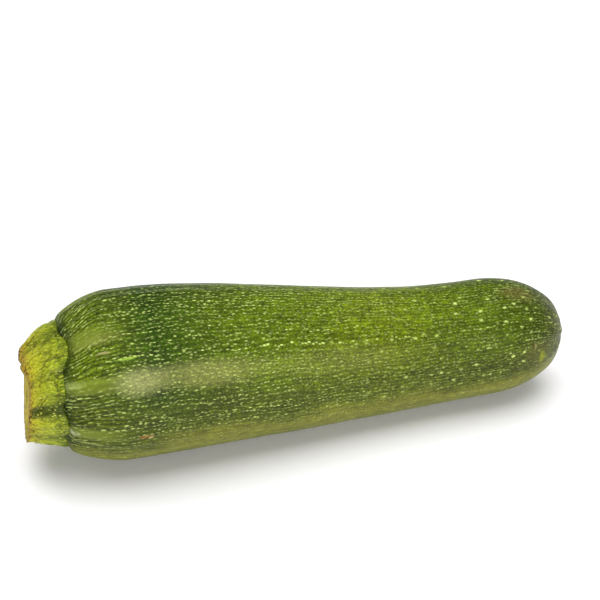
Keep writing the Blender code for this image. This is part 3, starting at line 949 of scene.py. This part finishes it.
# Bristles: short stiff hairs that stand on the stalk's wall and lean towards the cut, each a pale
# cone grown out of the skin. There are none by the seam or on the dried rim.
bristle_tree = bpy.data.node_groups.new("Stalk bristles", "GeometryNodeTree")
bristle_tree.interface.new_socket("Geometry", in_out="INPUT", socket_type="NodeSocketGeometry")
bristle_tree.interface.new_socket("Geometry", in_out="OUTPUT", socket_type="NodeSocketGeometry")
sockets = {}
for key, kind in {
    "Surface": "Object",
    "Finish": "Material",
    "Per square metre": "Float",
    "Length": "Float",
    "Thickness": "Float",
    "Seed": "Int",
}.items():
    sockets[key] = bristle_tree.interface.new_socket(key, in_out="INPUT", socket_type="NodeSocket" + kind)
inputs = node(bristle_tree, "NodeGroupInput").outputs
grown_on = node(bristle_tree, "GeometryNodeObjectInfo", {"Object": inputs["Surface"]})
up = node(bristle_tree, "GeometryNodeInputNamedAttribute", {"Name": "toward_cut"}, data_type="FLOAT")
early = node(bristle_tree, "Math", [up, 0.88], operation="LESS_THAN")
late = node(bristle_tree, "Math", [up, 0.06], operation="GREATER_THAN")
chosen = node(bristle_tree, "Math", [early, late], operation="MULTIPLY")
spread = node(
    bristle_tree,
    "GeometryNodeDistributePointsOnFaces",
    {
        "Mesh": grown_on.outputs["Geometry"],
        "Selection": chosen,
        "Density": inputs["Per square metre"],
        "Seed": inputs["Seed"],
    },
    distribute_method="RANDOM",
)
cone = node(
    bristle_tree,
    "GeometryNodeMeshCone",
    {
        "Vertices": 5,
        "Side Segments": 2,
        "Radius Top": 0.0,
        "Radius Bottom": inputs["Thickness"],
        "Depth": inputs["Length"],
    },
    fill_type="NGON",
)
longer = node(bristle_tree, "FunctionNodeRandomValue", {2: 0.45, 3: 1.0, "Seed": 11}, data_type="FLOAT")
lean = node(
    bristle_tree,
    "FunctionNodeAlignRotationToVector",
    {"Rotation": spread.outputs["Rotation"], "Factor": 0.25, "Vector": (-1.0, 0.0, 0.0)},
    axis="Z",
)
planted = node(
    bristle_tree,
    "GeometryNodeInstanceOnPoints",
    {
        "Points": spread.outputs["Points"],
        "Instance": cone.outputs[0],
        "Rotation": lean,
        "Scale": longer.outputs[1],
    },
)
real = node(bristle_tree, "GeometryNodeRealizeInstances", {"Geometry": planted})
coated = node(bristle_tree, "GeometryNodeSetMaterial", {"Geometry": real, "Material": inputs["Finish"]})
node(bristle_tree, "NodeGroupOutput", [coated])

# Dry hair of a plant: satin, from dull green to pale straw, uneven from hair to hair
hair = bpy.data.materials.new("dry_stalk_bristle")
hair.use_nodes = True
tree = hair.node_tree
surface = tree.nodes["Principled BSDF"]
surface.inputs["Roughness"].default_value = 0.45
surface.inputs["IOR"].default_value = 1.5
spot = node(tree, "TexCoord").outputs["Object"]
hue = node(tree, "TexNoise", {"Vector": spot, "Scale": 900.0, "Detail": 0.0})
hue = node(tree, "Mix", {0: hue, 6: linear("#878a30"), 7: linear("#c2c278")}, data_type="RGBA")
tree.links.new(hue.outputs[2], surface.inputs["Base Color"])

bristle_root = in_scene("bristle_root", bpy.data.meshes.new("bristle_root"))
bristle_mesh = grown(
    bristle_root,
    bristle_tree,
    sockets,
    {
        "Surface": stalk,
        "Finish": hair,
        "Per square metre": 240000.0,
        "Length": 0.0009,
        "Thickness": 0.00008,
        "Seed": 7,
    },
)
bristles = in_scene("stalk_bristles", bristle_mesh)
bpy.data.objects.remove(bristle_root)
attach(bristles, "root")
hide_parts("stalk")


# The table: a plain white sheet, under soft studio light from above and a little from the front
floor_mesh = bpy.data.meshes.new("table_sheet")
floor_mesh.from_pydata([(-3, -3, 0), (3, -3, 0), (3, 3, 0), (-3, 3, 0)], [], [(0, 1, 2, 3)])
floor = in_scene("table_sheet", floor_mesh)
paper = bpy.data.materials.new("white_paper_sheet")
paper.use_nodes = True
surface = paper.node_tree.nodes["Principled BSDF"]
surface.inputs["Base Color"].default_value = linear("#f3f2f5")
surface.inputs["Roughness"].default_value = 0.9
floor_mesh.materials.append(paper)

world = bpy.data.worlds.new("white_room")
bpy.context.scene.world = world
world.use_nodes = True
sky = world.node_tree.nodes["Background"]
sky.inputs["Color"].default_value = (1.0, 1.0, 1.0, 1.0)
sky.inputs["Strength"].default_value = 0.25


def softbox(name, place, aim, size, power, mirrored):
    """A rectangular soft light that faces a point, and shows in glossy surfaces or not."""
    light = bpy.data.lights.new(name, "AREA")
    light.shape = "RECTANGLE"
    light.size, light.size_y = size
    light.energy = power
    made = in_scene(name, light)
    made.location = place
    made.rotation_euler = (Vector(place) - Vector(aim)).to_track_quat("Z", "Y").to_euler()
    made.visible_glossy = mirrored


softbox("overhead", (0.0, 0.25, 1.6), (0.0, 0.0, 0.0), (2.2, 2.2), 46.0, False)
softbox("front", (0.0, -0.83, 0.40), (-0.03, -0.02, 0.045), (0.34, 0.24), 4.2, True)

bpy.context.scene.view_settings.view_transform = "Standard"

# The camera stands in front, a little to the stalk's side, 35 degrees above the table
azimuth, elevation, distance = math.radians(-14.44), math.radians(35.0), 0.6
back = Vector(
    (math.sin(azimuth) * math.cos(elevation), -math.cos(azimuth) * math.cos(elevation), math.sin(elevation))
)
lens = bpy.data.cameras.new("camera")
lens.sensor_width = 36.0
lens.lens = 113.34
camera = in_scene("camera", lens)
camera.location = Vector((0.00601, 0.019335, 0.0293)) + back * distance
camera.rotation_euler = back.to_track_quat("Z", "Y").to_euler()
bpy.context.scene.camera = camera
